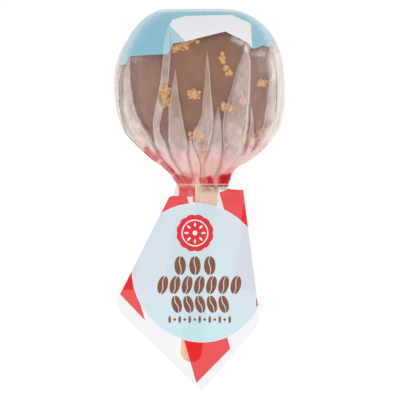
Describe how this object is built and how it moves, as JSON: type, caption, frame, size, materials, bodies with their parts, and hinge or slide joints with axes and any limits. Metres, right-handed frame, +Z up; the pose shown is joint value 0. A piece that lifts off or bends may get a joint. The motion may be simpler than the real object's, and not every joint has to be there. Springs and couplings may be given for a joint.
{
  "type": "chocolate caramel apple on a stick in a film bag",
  "caption": "Chocolate-coated caramel apple with toffee bits on a flat wooden stick, bagged in a gathered square of printed clear film; lies on its back.",
  "frame": {"origin": "middle of the bounding box, on the surface that the lolly lies on", "axes": "+Z up; +Y along the lolly from the stick towards the apple; +X to the right seen from above with the apple at the far end"},
  "size_m": [0.0792, 0.1738, 0.0807],
  "materials": {
    "film": "thin clear film with blue, white and red print, over milk chocolate",
    "wood": "plain smooth birch",
    "tape": "clear glossy tape",
    "chocolate": "milk chocolate, satin",
    "toffee": "golden toffee crumbs"
  },
  "bodies": {
    "root": {"wrap": "film", "stick": "wood", "tape": "tape"}
  },
  "joints": []
}
